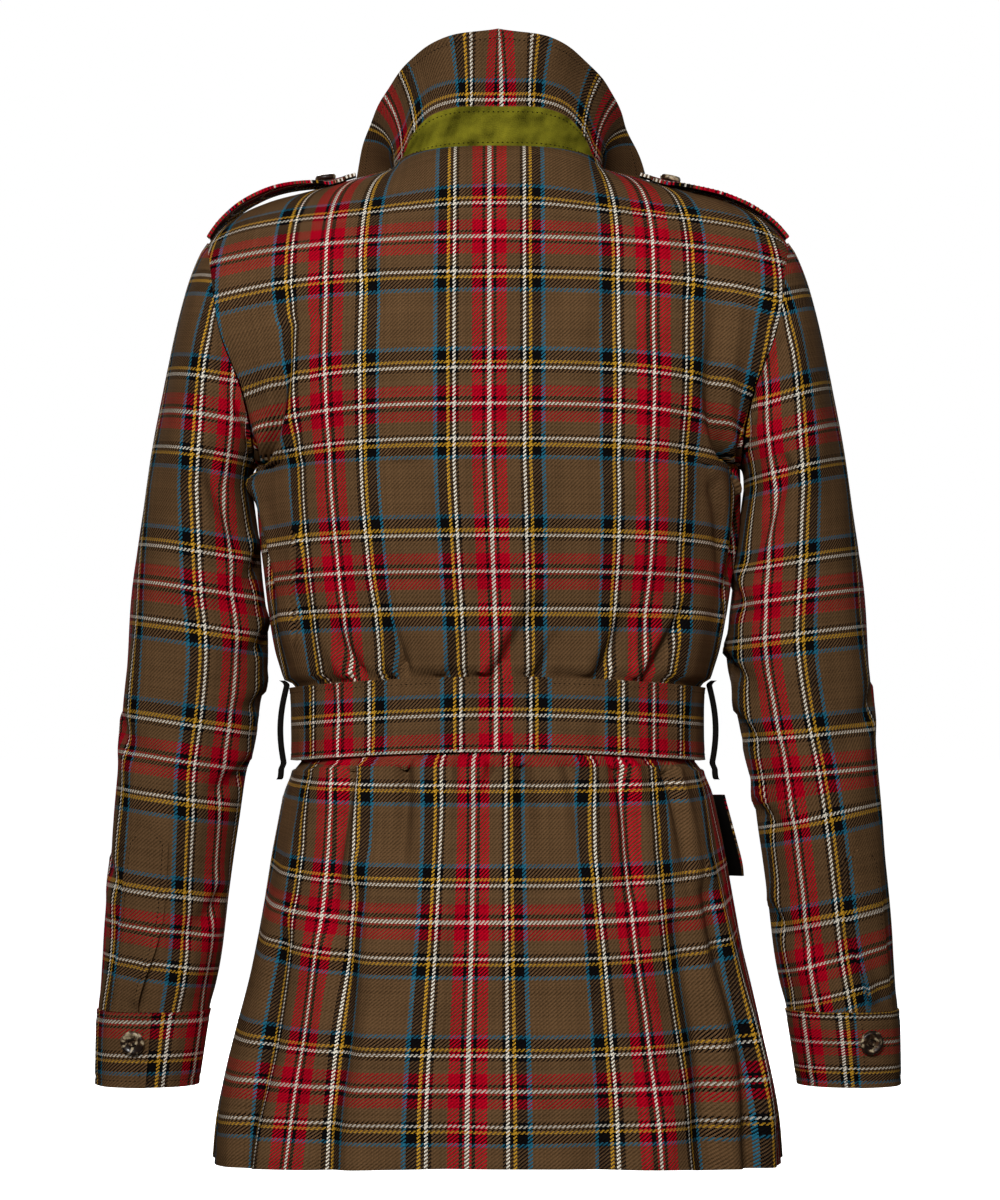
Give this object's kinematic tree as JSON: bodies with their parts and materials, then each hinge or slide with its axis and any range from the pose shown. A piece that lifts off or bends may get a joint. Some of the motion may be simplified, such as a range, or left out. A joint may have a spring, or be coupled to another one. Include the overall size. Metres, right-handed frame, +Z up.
{
  "type": "safari jacket",
  "caption": "Belted safari jacket in checked wool, worn hollow form with upright collar, epaulettes, set-in sleeves and flapped hip pockets; open at neck, cuffs and hem.",
  "frame": {"origin": "centre of the neck opening, at the height of the neck seam's highest points", "axes": "+Z up along the body, front of the jacket towards -Y, wearer's left towards +X"},
  "size_m": [0.5867, 0.302, 0.8044],
  "materials": {
    "back": "checked wool twill, matt",
    "front_left": "checked wool twill, matt",
    "front_right": "checked wool twill, matt",
    "collar_fall": "checked wool twill, matt",
    "collar_stand": "plain moss green cloth",
    "belt": "checked wool twill, matt",
    "buckle": "polished dark horn",
    "sleeve_left": "checked wool twill, matt",
    "cuff_left": "checked wool twill, matt",
    "placket_left": "checked wool twill, matt",
    "epaulette_left": "checked wool twill, matt",
    "belt_loop_left": "near-black rolled cloth",
    "pocket_left": "checked wool twill, matt",
    "pocket_flap_left": "checked wool twill, matt",
    "button_cuff_left": "polished dark horn",
    "button_epaulette_left": "polished dark horn",
    "sleeve_right": "checked wool twill, matt",
    "cuff_right": "checked wool twill, matt",
    "placket_right": "checked wool twill, matt",
    "epaulette_right": "checked wool twill, matt",
    "belt_loop_right": "near-black rolled cloth",
    "pocket_right": "checked wool twill, matt",
    "pocket_flap_right": "checked wool twill, matt",
    "button_cuff_right": "polished dark horn",
    "button_epaulette_right": "polished dark horn",
    "button_front_1": "polished dark horn",
    "button_front_2": "polished dark horn",
    "button_front_3": "polished dark horn",
    "button_front_4": "polished dark horn",
    "button_front_5": "polished dark horn"
  },
  "bodies": {
    "root": {"back": "back", "front_left": "front_left", "front_right": "front_right", "collar_fall": "collar_fall", "collar_stand": "collar_stand", "belt": "belt", "buckle": "buckle", "sleeve_left": "sleeve_left", "cuff_left": "cuff_left", "placket_left": "placket_left", "epaulette_left": "epaulette_left", "belt_loop_left": "belt_loop_left", "pocket_left": "pocket_left", "pocket_flap_left": "pocket_flap_left", "button_cuff_left": "button_cuff_left", "button_epaulette_left": "button_epaulette_left", "sleeve_right": "sleeve_right", "cuff_right": "cuff_right", "placket_right": "placket_right", "epaulette_right": "epaulette_right", "belt_loop_right": "belt_loop_right", "pocket_right": "pocket_right", "pocket_flap_right": "pocket_flap_right", "button_cuff_right": "button_cuff_right", "button_epaulette_right": "button_epaulette_right", "button_front_1": "button_front_1", "button_front_2": "button_front_2", "button_front_3": "button_front_3", "button_front_4": "button_front_4", "button_front_5": "button_front_5"}
  },
  "joints": []
}
